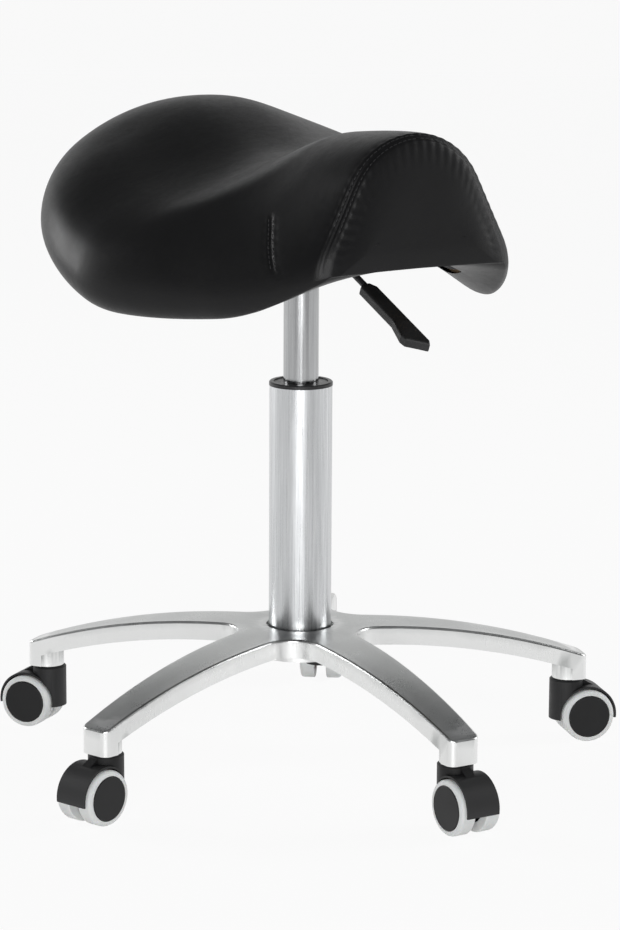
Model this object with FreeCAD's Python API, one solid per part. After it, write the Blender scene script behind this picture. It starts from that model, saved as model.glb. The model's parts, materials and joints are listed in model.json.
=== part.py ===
import FreeCAD, Part
import math
import os

# Saddle stool on five twin-wheel casters. Millimetres, +Z up.
# The origin is on the floor under the column's axis and the pommel points along -Y.

V = FreeCAD.Vector
ORIGIN = V(0, 0, 0)
UP = V(0, 0, 1)

# Base casting
arm_count = 5
stem_circle_radius = 226.0
boss_radius = 13.2
boss_bottom_z = 52.0
boss_step = 0.4
hub_top_z = 109.0
hub_flat_radius = 32.0
arm_tip_drop = 37.0
arm_depth = 15.0
arm_tip_half_width = 13.2
arm_taper = 0.042
crotch_fillet = 24.0
tip_corner_radius = 6.0
edge_round = 1.8
casting_wall = 4.0
casting_skin = 5.0
rib_thickness = 4.0
hub_sleeve_radius = 36.0
hub_bottom_z = 86.0
hub_mouth_radius = 27.0
hub_mouth_depth = 5.0

# Column tube
column_radius = 25.0
column_wall = 1.5
column_bottom_z = 87.0
column_top_z = 304.0
column_taper_top_z = 112.0
column_taper_shrink = 1.4
column_floor = 3.0

# Guide bush
bush_length = 76.0
bush_flange_height = 3.2
bush_flange_overhang = 0.3
bush_lip_inset = 3.4
bush_lip_depth = 0.8

# Gas cylinder, shown at half height
travel_down = 70.0
travel_up = 60.0
cylinder_radius = 14.0
cylinder_wall = 1.5
cylinder_bottom_z = 190.0
cylinder_top_z = 411.0
cylinder_taper_length = 31.0
cylinder_taper_shrink = 1.0
cylinder_head = 33.0
gland_length = 14.0
valve_length = 22.0
valve_floor = 4.0
pin_radius = 2.9

# Piston and rod
rod_radius = 5.0
rod_spigot_radius = 4.0
rod_tail = 7.0
piston_centre_z = 274.0
piston_length = 12.0
piston_seal_width = 4.0
piston_seal_depth = 2.0

# Thrust bearing and bumper
race_radius = 12.0
race_thickness = 2.0
ball_radius = 2.0
ball_count = 10
ball_circle_radius = 8.4
cage_thickness = 1.6
bumper_radius = 11.0
clip_radius = 8.0
clip_thickness = 1.4

# Fits
running_clearance = 0.05
slide_clearance = 0.08
touch_gap = 0.1
stop_gap = 0.5

# Casters
caster_trail = 14.0
wheel_radius = 21.5
tread_inner_radius = 17.5
wheel_inner_face = 5.0
tread_width = 12.6
tread_shoulder = 3.0
tread_inner_shoulder = 1.2
tread_flange_radius = 14.0
tread_flange_thickness = 2.0
core_face_proud = 0.4
core_face_thickness = 2.6
core_rim_thickness = 2.0
core_hub_radius = 6.0
core_rim_round = 1.2
axle_radius = 3.0
axle_end_gap = 0.6
hood_half_width = 14.2
hood_radius = 24.2
hood_wall = 1.6
hood_skirt_z = 17.5
hood_fender_z = 18.5
hood_top_gap = 0.7
hood_neck_radius = 13.8
hood_neck_back = 0.9
hood_neck_bevel = 1.2
hood_web_half = 4.5
hood_web_round = 7.5
hood_ridge_half = 4.0
stem_radius = 5.5
stem_foot_radius = 3.5
stem_foot_z = 30.0
stem_top_z = 68.0
stem_collar_radius = 8.0
grip_ring_width = 6.0
grip_ring_thickness = 0.4
grip_ring_split = 2.0

# Seat, measured forwards from the column's axis
seat_rear = 216.0
seat_front = 168.0
seat_width_place = -32.0
seat_half_width = 184.0
thigh_place = 80.0
thigh_half_width = 136.0
pommel_half_width = 81.0
rear_roundness = 2.25
cantle_place = -150.0
rim_place = -120.0
ridge_z = {"rear": 507.0, "cantle": 520.0, "middle": 487.0, "thigh": 512.0, "front": 519.0}
rim_z = {"rear": 464.0, "cantle": 427.0, "middle": 396.0, "thigh": 394.0, "front": 417.0}
edge_radius = {"rear": 21.0, "middle": 25.0, "front": 6.0}
under_z = {"rear": 446.0, "middle": 428.0, "front": 418.5}
side_radius = {"rear": 42.0, "middle": 49.0, "front": 44.0}
flank_angle = {"rear": 53.0, "middle": 53.0, "front": 25.0}
rear_roll = 34.0
front_roll = 11.0
cover_thickness = 2.2
pan_thickness = 10.0
pan_edge_inset = 14.0
pan_end_inset = 26.0
cover_lip = 16.0
cloth_thickness = 0.8
cloth_gap = 0.6
lower_arc_sweep = 85.0

# Seat plate
plate_half_width = 65.0
plate_half_length = 58.0
plate_thickness = 3.0
plate_corner = 10.0
pad_z = 428.0
pad_thickness = 10.0
pad_margin = 8.0
pad_wall = 6.0
socket_radius = 18.0
socket_bottom_z = 386.0
channel_half_width = 22.0
channel_wall = 2.5
channel_bottom_z = 400.0
channel_rear = 30.0
channel_front = 42.0
bolt_radius = 3.0
bolt_head_radius = 5.0
bolt_head_height = 4.0
bolt_key_radius = 2.3
bolt_key_depth = 2.2
bolt_x = 50.0
bolt_y = 45.0
bolt_clearance = 0.3
washer_radius = 6.5
washer_thickness = 1.2
tee_barrel_radius = 4.2
tee_flange_radius = 9.0
tee_flange_thickness = 1.5

# Lever
lever_z = 418.0
lever_radius = 2.5
pivot_forward = 26.0
pivot_radius = 2.4
pivot_head_radius = 4.0
pivot_head_thickness = 1.5
eye_radius = 5.5
eye_half_width = 7.0
lever_bend_forward = 62.0
lever_bend_z = 408.6
lever_droop = 23.0
grip_start_forward = 95.0
grip_length = 90.0
grip_thickness = 8.0
grip_straight_side = 6.0
grip_neck_side = 8.0
grip_bulge_side = 13.2
grip_bulge_place = 74.0
grip_tip_side = 3.4
grip_round = 1.8
rod_in_grip = 30.0


def export(shape, name):
    """Write one node's STEP file."""
    if not shape.isValid():
        print("invalid shape", name)
    shape.exportStep("parts/" + name + ".step")


def cylinder(radius, low, high):
    """A solid cylinder on the column's axis."""
    return Part.makeCylinder(radius, high - low, V(0, 0, low), UP)


def ring(outer, inner, low, high):
    """A plain ring on the column's axis."""
    return cylinder(outer, low, high).cut(cylinder(inner, low - 1.0, high + 1.0))


def turned(points):
    """A solid turned about the Z axis from a closed outline of (radius, z) points."""
    corners = [V(r, 0, z) for r, z in points]
    outline = Part.makePolygon(corners + [corners[0]])
    return Part.Face(outline).revolve(ORIGIN, UP, 360)


def turned_about(axis, outline_edges):
    """A solid turned about an axis through the origin."""
    return Part.Face(Part.Wire(outline_edges)).revolve(ORIGIN, axis, 360)


def line(a, b):
    return Part.LineSegment(a, b).toShape()


def arc(a, b, c):
    return Part.Arc(a, b, c).toShape()


def arm_angle(index):
    """Arm 0 points forwards, along -Y."""
    return -90.0 + index * 360.0 / arm_count


def at_arm(shape, index):
    """Turn a shape from the +X direction to an arm."""
    copy = shape.copy()
    copy.rotate(ORIGIN, UP, arm_angle(index))
    return copy


arm_end_radius = stem_circle_radius + boss_radius
half_pitch = math.pi / arm_count
arm_arc_radius = (arm_end_radius - hub_flat_radius) ** 2 / (2.0 * arm_tip_drop) + arm_tip_drop / 2.0


def arm_top_z(radius):
    """Height of the arms' top face at a distance from the axis."""
    run = max(radius - hub_flat_radius, 0.0)
    return hub_top_z - arm_arc_radius + math.sqrt(arm_arc_radius ** 2 - run ** 2)


def star_outline(inset, end_inset):
    """The plan outline of hub and arms, drawn in by an inset."""
    slope = math.atan(arm_taper)
    tip_x = arm_end_radius - end_inset
    tip_y = arm_tip_half_width - inset
    corner = max(tip_corner_radius - end_inset, 1.0)
    # the sides of two neighbouring arms meet on the line halfway between them
    root = tip_y + tip_x * arm_taper
    crotch = root / (arm_taper * math.cos(half_pitch) + math.sin(half_pitch))
    fillet = crotch_fillet + inset
    half_angle = half_pitch + slope
    fillet_centre = crotch + fillet / math.sin(half_angle)
    reach = fillet / math.tan(half_angle)

    def spin(point, angle):
        c, s = math.cos(angle), math.sin(angle)
        return V(point[0] * c - point[1] * s, point[0] * s + point[1] * c, 0)

    def side(x):
        return tip_y + (tip_x - x) * arm_taper

    crotch_x = crotch * math.cos(half_pitch)
    side_x = crotch_x + reach * math.cos(slope)
    diagonal = corner * math.sqrt(0.5)
    edges = []
    for index in range(arm_count):
        angle = math.radians(arm_angle(index))
        after = angle + half_pitch
        right = spin((side_x, -side(side_x)), angle)
        right_corner = spin((tip_x - corner, -side(tip_x - corner)), angle)
        right_mid = spin((tip_x - corner + diagonal, -tip_y + corner - diagonal), angle)
        right_end = spin((tip_x, -tip_y + corner), angle)
        left_end = spin((tip_x, tip_y - corner), angle)
        left_mid = spin((tip_x - corner + diagonal, tip_y - corner + diagonal), angle)
        left_corner = spin((tip_x - corner, side(tip_x - corner)), angle)
        left = spin((side_x, side(side_x)), angle)
        crotch_mid = spin((fillet_centre - fillet, 0), after)
        next_right = spin((side_x, -side(side_x)), angle + 2.0 * half_pitch)
        edges.append(line(right, right_corner))
        edges.append(arc(right_corner, right_mid, right_end))
        edges.append(line(right_end, left_end))
        edges.append(arc(left_end, left_mid, left_corner))
        edges.append(line(left_corner, left))
        edges.append(arc(left, crotch_mid, next_right))
    return Part.Face(Part.Wire(edges))


def arched_band(top_drop, bottom_drop):
    """The band between two curves parallel to the arms' top, turned about the axis."""
    reach = arm_end_radius + boss_radius
    middle = (hub_flat_radius + reach) / 2.0

    def point(radius, drop):
        return V(radius, 0, arm_top_z(radius) - drop)

    flat, far = hub_flat_radius, reach
    edges = [
        line(V(0, 0, hub_top_z - top_drop), point(flat, top_drop)),
        arc(point(flat, top_drop), point(middle, top_drop), point(far, top_drop)),
        line(point(far, top_drop), point(far, bottom_drop)),
        arc(point(far, bottom_drop), point(middle, bottom_drop), point(flat, bottom_drop)),
        line(point(flat, bottom_drop), V(0, 0, hub_top_z - bottom_drop)),
        line(V(0, 0, hub_top_z - bottom_drop), V(0, 0, hub_top_z - top_drop)),
    ]
    return turned_about(UP, edges)


def prism(face, low, high):
    face = face.copy()
    face.translate(V(0, 0, low))
    return face.extrude(V(0, 0, high - low))


def column_outer(z):
    """Outer radius of the column tube, which tapers at its foot."""
    share = max(column_taper_top_z - z, 0.0) / (column_taper_top_z - column_bottom_z)
    return column_radius - column_taper_shrink * min(share, 1.0)


def base_casting():
    """Five arched arms, hollow from below, round a tapered hub socket."""
    body = prism(star_outline(0.0, 0.0), 0, hub_top_z + 1.0).common(arched_band(0.0, arm_depth))
    rounded = []
    for edge in body.Edges:
        middle = edge.valueAt((edge.FirstParameter + edge.LastParameter) / 2.0)
        radius = math.hypot(middle.x, middle.y)
        on_top = abs(middle.z - arm_top_z(radius)) < 0.05
        if on_top and radius > hub_flat_radius + 2.0:
            rounded.append(edge)
    body = body.makeFillet(edge_round, rounded)
    hollow = prism(star_outline(casting_wall, 2.0 * boss_radius + casting_wall), 0, hub_top_z)
    hollow = hollow.common(arched_band(casting_skin, arm_depth + 1.0))
    hollow = hollow.cut(cylinder(hub_sleeve_radius, 0, hub_top_z))
    for index in range(arm_count):
        rib = Part.makeBox(arm_end_radius, rib_thickness, hub_top_z, V(0, -rib_thickness / 2.0, 0))
        hollow = hollow.cut(at_arm(rib, index))
    body = body.cut(hollow)
    body = body.fuse(cylinder(hub_sleeve_radius, hub_bottom_z, hub_top_z - casting_skin))
    for index in range(arm_count):
        top = arm_top_z(stem_circle_radius) - casting_skin
        boss = Part.makeCylinder(boss_radius - boss_step, top - boss_bottom_z,
                                 V(stem_circle_radius, 0, boss_bottom_z))
        tip = prism(star_outline(0.0, 0.0), boss_bottom_z, arm_top_z(arm_end_radius) - edge_round - 1.0)
        tip = tip.common(at_arm(Part.makeBox(2.0 * boss_radius, 4.0 * boss_radius, hub_top_z,
                                             V(stem_circle_radius, -2.0 * boss_radius, 0)), index))
        body = body.fuse([at_arm(boss, index), tip])
    body = body.removeSplitter()
    socket = turned([
        (0, hub_bottom_z - 1.0),
        (column_outer(hub_bottom_z), hub_bottom_z - 1.0),
        (column_outer(column_bottom_z), column_bottom_z),
        (column_outer(hub_top_z - hub_mouth_depth), hub_top_z - hub_mouth_depth),
        (hub_mouth_radius, hub_top_z - hub_mouth_depth),
        (hub_mouth_radius, hub_top_z + 1.0),
        (0, hub_top_z + 1.0),
    ])
    body = body.cut(socket)
    hole_radius = stem_radius + grip_ring_thickness
    for index in range(arm_count):
        depth = stem_top_z + stop_gap - boss_bottom_z + 1.0
        hole = Part.makeCylinder(hole_radius, depth, V(stem_circle_radius, 0, boss_bottom_z - 1.0))
        body = body.cut(at_arm(hole, index))
    return body


def column_tube():
    """The stand tube: tapered foot, thin wall, closed floor with a hole for the rod."""
    bore_low = column_bottom_z + column_floor
    outer = turned([
        (0, column_bottom_z),
        (column_outer(column_bottom_z), column_bottom_z),
        (column_radius, column_taper_top_z),
        (column_radius, column_top_z),
        (0, column_top_z),
    ])
    bore = turned([
        (0, bore_low),
        (column_outer(bore_low) - column_wall, bore_low),
        (column_radius - column_wall, column_taper_top_z),
        (column_radius - column_wall, column_top_z + 1.0),
        (0, column_top_z + 1.0),
    ])
    hole = cylinder(rod_spigot_radius + running_clearance, column_bottom_z - 1.0, bore_low + 1.0)
    return outer.cut(bore).cut(hole)


def guide_bush():
    """Plastic guide with a flange that sits on the column's top edge."""
    bore = cylinder_radius + slide_clearance
    top = column_top_z + bush_flange_height
    flange = column_radius + bush_flange_overhang
    lip_outer = column_radius - bush_lip_inset
    return turned([
        (bore, column_top_z - bush_length),
        (column_radius - column_wall, column_top_z - bush_length),
        (column_radius - column_wall, column_top_z),
        (flange, column_top_z),
        (flange, top - bush_lip_depth),
        (flange - bush_lip_depth, top),
        (lip_outer, top),
        (lip_outer, top - bush_lip_depth),
        (bore, top - bush_lip_depth),
    ])


race_low_z = column_bottom_z + column_floor
ball_centre_z = race_low_z + race_thickness + running_clearance + ball_radius
race_high_z = ball_centre_z + ball_radius
shoulder_z = race_high_z + race_thickness


def bearing_lower_race():
    return ring(race_radius, rod_spigot_radius + running_clearance, race_low_z, race_low_z + race_thickness)


def bearing_upper_race():
    return ring(race_radius, rod_spigot_radius, race_high_z, shoulder_z)


def bearing_balls():
    """The ring of balls, each a solid of its own."""
    balls = []
    for index in range(ball_count):
        ball = Part.makeSphere(ball_radius, V(ball_circle_radius, 0, ball_centre_z))
        ball.rotate(ORIGIN, UP, index * 360.0 / ball_count)
        balls.append(ball)
    return Part.makeCompound(balls)


def bearing_cage():
    half = cage_thickness / 2.0
    cage = ring(race_radius - 0.5, rod_spigot_radius, ball_centre_z - half, ball_centre_z + half)
    pocket_radius = ball_radius + running_clearance
    for index in range(ball_count):
        pocket = Part.makeCylinder(pocket_radius, cage_thickness + 2.0,
                                   V(ball_circle_radius, 0, ball_centre_z - half - 1.0))
        pocket.rotate(ORIGIN, UP, index * 360.0 / ball_count)
        cage = cage.cut(pocket)
    return cage


piston_low_z = piston_centre_z - piston_length / 2.0
piston_high_z = piston_centre_z + piston_length / 2.0
cylinder_bore = cylinder_radius - cylinder_wall


def piston_rod():
    """Rod with a spigot through the bearing and a reduced end in the piston."""
    groove = column_bottom_z - touch_gap - clip_thickness
    return turned([
        (0, column_bottom_z - rod_tail),
        (rod_spigot_radius, column_bottom_z - rod_tail),
        (rod_spigot_radius, groove),
        (rod_spigot_radius - 1.0, groove),
        (rod_spigot_radius - 1.0, groove + clip_thickness),
        (rod_spigot_radius, groove + clip_thickness),
        (rod_spigot_radius, shoulder_z),
        (rod_radius, shoulder_z),
        (rod_radius, piston_low_z),
        (rod_spigot_radius, piston_low_z),
        (rod_spigot_radius, piston_high_z),
        (0, piston_high_z),
    ])


def rod_clip():
    """Open spring clip in the rod's groove, under the column's floor."""
    low = column_bottom_z - touch_gap - clip_thickness
    clip = ring(clip_radius, rod_spigot_radius - 1.0, low, low + clip_thickness)
    mouth = 1.6 * (rod_spigot_radius - 1.0)
    return clip.cut(Part.makeBox(clip_radius + 1.0, mouth, clip_thickness + 2.0, V(0, -mouth / 2.0, low - 1.0)))


def rubber_bumper():
    top = cylinder_bottom_z - travel_down - stop_gap
    waist = bumper_radius - 2.0
    return turned([
        (rod_radius, shoulder_z),
        (bumper_radius, shoulder_z),
        (bumper_radius, shoulder_z + 5.0),
        (waist, (shoulder_z + top) / 2.0),
        (bumper_radius, top - 5.0),
        (bumper_radius, top),
        (rod_radius, top),
    ])


def piston():
    outer = cylinder_bore - slide_clearance
    half = piston_seal_width / 2.0
    inner = outer - piston_seal_depth
    return turned([
        (rod_spigot_radius, piston_low_z),
        (outer, piston_low_z),
        (outer, piston_centre_z - half),
        (inner, piston_centre_z - half),
        (inner, piston_centre_z + half),
        (outer, piston_centre_z + half),
        (outer, piston_high_z),
        (rod_spigot_radius, piston_high_z),
    ])


def piston_seal():
    half = piston_seal_width / 2.0
    outer = cylinder_bore - running_clearance
    inner = cylinder_bore - slide_clearance - piston_seal_depth
    return ring(outer, inner, piston_centre_z - half, piston_centre_z + half)


bore_top_z = cylinder_top_z - cylinder_head
taper_low_z = cylinder_top_z - cylinder_taper_length


def cylinder_outer(z):
    """Outer radius of the gas cylinder, which tapers at its top."""
    share = min(max(z - taper_low_z, 0.0) / cylinder_taper_length, 1.0)
    return cylinder_radius - cylinder_taper_shrink * share


def gas_cylinder():
    hole = pin_radius + running_clearance
    return turned([
        (cylinder_bore, cylinder_bottom_z),
        (cylinder_radius, cylinder_bottom_z),
        (cylinder_radius, taper_low_z),
        (cylinder_outer(cylinder_top_z), cylinder_top_z),
        (hole, cylinder_top_z),
        (hole, bore_top_z),
        (cylinder_bore, bore_top_z),
    ])


def cylinder_gland():
    low = cylinder_bottom_z
    return turned([
        (rod_radius + slide_clearance, low),
        (cylinder_bore, low),
        (cylinder_bore, low + gland_length),
        (rod_radius + slide_clearance, low + gland_length),
    ])


def valve_body():
    low = bore_top_z - valve_length
    hole = pin_radius + running_clearance
    return turned([
        (0, low),
        (cylinder_bore, low),
        (cylinder_bore, bore_top_z),
        (hole, bore_top_z),
        (hole, low + valve_floor),
        (0, low + valve_floor),
    ])


pin_travel = 3.9
pin_top_z = lever_z - lever_radius - touch_gap


def release_pin():
    low = bore_top_z - valve_length + valve_floor + pin_travel + stop_gap
    return turned([
        (0, low),
        (pin_radius, low),
        (pin_radius, pin_top_z - 1.0),
        (pin_radius - 1.0, pin_top_z),
        (0, pin_top_z),
    ])


wheel_x = stem_circle_radius + caster_trail


def caster_stem():
    """Steel stem in the boss, with a collar under it and a foot in the caster."""
    shape = turned([
        (0, stem_foot_z),
        (stem_foot_radius, stem_foot_z),
        (stem_foot_radius, boss_bottom_z - hood_top_gap + touch_gap),
        (stem_collar_radius, boss_bottom_z - hood_top_gap + touch_gap),
        (stem_collar_radius, boss_bottom_z),
        (stem_radius, boss_bottom_z),
        (stem_radius, stem_top_z - 1.0),
        (stem_radius - 1.0, stem_top_z),
        (0, stem_top_z),
    ])
    shape.translate(V(stem_circle_radius, 0, 0))
    return shape


def stem_grip_ring():
    middle = (boss_bottom_z + stem_top_z) / 2.0
    low = middle - grip_ring_width / 2.0
    outer = stem_radius + grip_ring_thickness
    shape = ring(outer, stem_radius, low, low + grip_ring_width)
    split = Part.makeBox(outer + 1.0, grip_ring_split, grip_ring_width + 2.0,
                         V(0, -grip_ring_split / 2.0, low - 1.0))
    shape = shape.cut(split)
    shape.translate(V(stem_circle_radius, 0, 0))
    return shape


def caster_hood():
    """Fender over the wheels' inner halves, round neck under the boss and web with the axle hole."""
    top = boss_bottom_z - hood_top_gap
    y = -hood_half_width
    axle = V(wheel_x, 0, wheel_radius)
    neck_x = stem_circle_radius - hood_neck_back
    inner_radius = hood_radius - hood_wall

    def on_arc(radius, rise):
        """The point of a circle round the axle at a height above the axle, on the outer side."""
        return axle + V(math.sqrt(radius ** 2 - rise ** 2), y, rise)

    def over_neck(radius):
        """The point of a circle round the axle above the neck's middle."""
        run = wheel_x - neck_x
        return axle + V(-run, y, math.sqrt(radius ** 2 - run ** 2))

    fender_rise = hood_fender_z - wheel_radius
    edges = [
        line(over_neck(inner_radius), over_neck(hood_radius)),
        arc(over_neck(hood_radius), axle + V(0, y, hood_radius), on_arc(hood_radius, fender_rise)),
        line(on_arc(hood_radius, fender_rise), on_arc(inner_radius, fender_rise)),
        arc(on_arc(inner_radius, fender_rise), axle + V(0, y, inner_radius), over_neck(inner_radius)),
    ]
    fender = Part.Face(Part.Wire(edges)).extrude(V(0, 2.0 * hood_half_width, 0))
    neck = turned([
        (0, hood_skirt_z),
        (hood_neck_radius, hood_skirt_z),
        (hood_neck_radius, top - hood_neck_bevel),
        (hood_neck_radius - hood_neck_bevel, top),
        (0, top),
    ])
    neck.translate(V(neck_x, 0, 0))
    wheel_room = Part.makeCylinder(inner_radius, 4.0 * hood_half_width, axle + V(0, 2.0 * y, 0), V(0, 1, 0))
    neck = neck.cut(wheel_room)
    ridge_run = math.sqrt(0.5) * hood_radius
    ridge_face = Part.Face(Part.makePolygon([
        V(neck_x, -hood_ridge_half, top - hood_neck_bevel),
        V(neck_x + hood_neck_radius - 1.0, -hood_ridge_half, top - hood_neck_bevel),
        axle + V(ridge_run, -hood_ridge_half, ridge_run),
        axle + V(0, -hood_ridge_half, inner_radius + 0.5),
        V(neck_x, -hood_ridge_half, top - hood_neck_bevel),
    ]))
    ridge = ridge_face.extrude(V(0, 2.0 * hood_ridge_half, 0))
    web_room = Part.makeCylinder(inner_radius + 0.5, 2.0 * hood_web_half,
                                 axle + V(0, -hood_web_half, 0), V(0, 1, 0))
    web_low = hood_skirt_z + 1.0
    web = Part.makeBox(hood_neck_radius + wheel_x - neck_x - 1.0, 2.0 * hood_web_half, 2.0 * hood_radius,
                       V(neck_x - hood_neck_radius + 1.0, -hood_web_half, web_low)).common(web_room)
    outer_web = Part.makeBox(inner_radius, 2.0 * hood_web_half, inner_radius,
                             V(wheel_x - 0.5, -hood_web_half, wheel_radius)).common(web_room)
    round_end = Part.makeCylinder(hood_web_round, 2.0 * hood_web_half,
                                  axle + V(0, -hood_web_half, 0), V(0, 1, 0))
    hood = fender.fuse([neck, ridge, web, outer_web, round_end])
    depth = top - stem_foot_z + stop_gap + 1.0
    hood = hood.cut(Part.makeCylinder(stem_foot_radius + running_clearance, depth,
                                      V(stem_circle_radius, 0, stem_foot_z - stop_gap)))
    hood = hood.cut(Part.makeCylinder(axle_radius, 4.0 * hood_web_half,
                                      V(wheel_x, -2.0 * hood_web_half, wheel_radius), V(0, 1, 0)))
    return hood.removeSplitter()


core_outer_face = wheel_inner_face + tread_width + core_face_proud
axle_half_length = core_outer_face - core_face_thickness - axle_end_gap


def caster_axle():
    return Part.makeCylinder(axle_radius, 2.0 * axle_half_length,
                             V(wheel_x, -axle_half_length, wheel_radius), V(0, 1, 0))


def wheel_core():
    """Wheel core with a closed outer face, on the +Y side of the caster."""
    bore = axle_radius + running_clearance
    low = wheel_inner_face
    seat = low + tread_flange_thickness
    face = core_outer_face - core_face_thickness
    rim = tread_inner_radius - core_rim_thickness
    bend = core_rim_round * (1.0 - math.sqrt(0.5))
    edge = core_outer_face - core_rim_round
    flat = tread_inner_radius - core_rim_round

    def p(radius, y):
        return V(radius, y, 0)

    outline = [
        line(p(0, face), p(bore, face)),
        line(p(bore, face), p(bore, low)),
        line(p(bore, low), p(core_hub_radius, low)),
        line(p(core_hub_radius, low), p(core_hub_radius, face)),
        line(p(core_hub_radius, face), p(rim, face)),
        line(p(rim, face), p(rim, seat)),
        line(p(rim, seat), p(tread_inner_radius, seat)),
        line(p(tread_inner_radius, seat), p(tread_inner_radius, edge)),
        arc(p(tread_inner_radius, edge), p(tread_inner_radius - bend, core_outer_face - bend),
            p(flat, core_outer_face)),
        line(p(flat, core_outer_face), p(0, core_outer_face)),
        line(p(0, core_outer_face), p(0, face)),
    ]
    core = turned_about(V(0, 1, 0), outline)
    core.translate(V(wheel_x, 0, wheel_radius))
    return core


def tread():
    """White tread with round shoulders and a flange inside the core, on the +Y side of the caster."""
    low = wheel_inner_face
    high = low + tread_width
    inner = tread_inner_radius
    outer = wheel_radius
    r = tread_shoulder
    bend = r * (1.0 - math.sqrt(0.5))

    def p(radius, y):
        return V(radius, y, 0)

    seat = low + tread_flange_thickness
    q = tread_inner_shoulder
    turn = q * (1.0 - math.sqrt(0.5))
    outline = [
        line(p(tread_flange_radius, low), p(outer - q, low)),
        arc(p(outer - q, low), p(outer - turn, low + turn), p(outer, low + q)),
        line(p(outer, low + q), p(outer, high - r)),
        arc(p(outer, high - r), p(outer - bend, high - bend), p(outer - r, high)),
        line(p(outer - r, high), p(inner, high)),
        line(p(inner, high), p(inner, seat)),
        line(p(inner, seat), p(tread_flange_radius, seat)),
        line(p(tread_flange_radius, seat), p(tread_flange_radius, low)),
    ]
    shape = turned_about(V(0, 1, 0), outline)
    shape.translate(V(wheel_x, 0, wheel_radius))
    return shape


def mirrored(shape):
    """The other wheel of a pair."""
    return shape.mirror(ORIGIN, V(0, 1, 0))


def smooth_value(places, values, place):
    """A smooth curve through a few values, with no overshoot between them."""
    slopes = []
    rises = []
    for a, b, va, vb in zip(places, places[1:], values, values[1:]):
        rises.append((vb - va) / (b - a))
    slopes.append(rises[0])
    for before, after in zip(rises, rises[1:]):
        if before * after <= 0:
            slopes.append(0.0)
        else:
            slopes.append(2.0 * before * after / (before + after))
    slopes.append(rises[-1])
    index = 0
    while index < len(places) - 2 and place > places[index + 1]:
        index += 1
    span = places[index + 1] - places[index]
    t = (place - places[index]) / span
    ease = t * t * (3.0 - 2.0 * t)
    start = values[index] + (values[index + 1] - values[index]) * ease
    return start + span * (slopes[index] * t * (1.0 - t) ** 2 - slopes[index + 1] * t * t * (1.0 - t))


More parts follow.
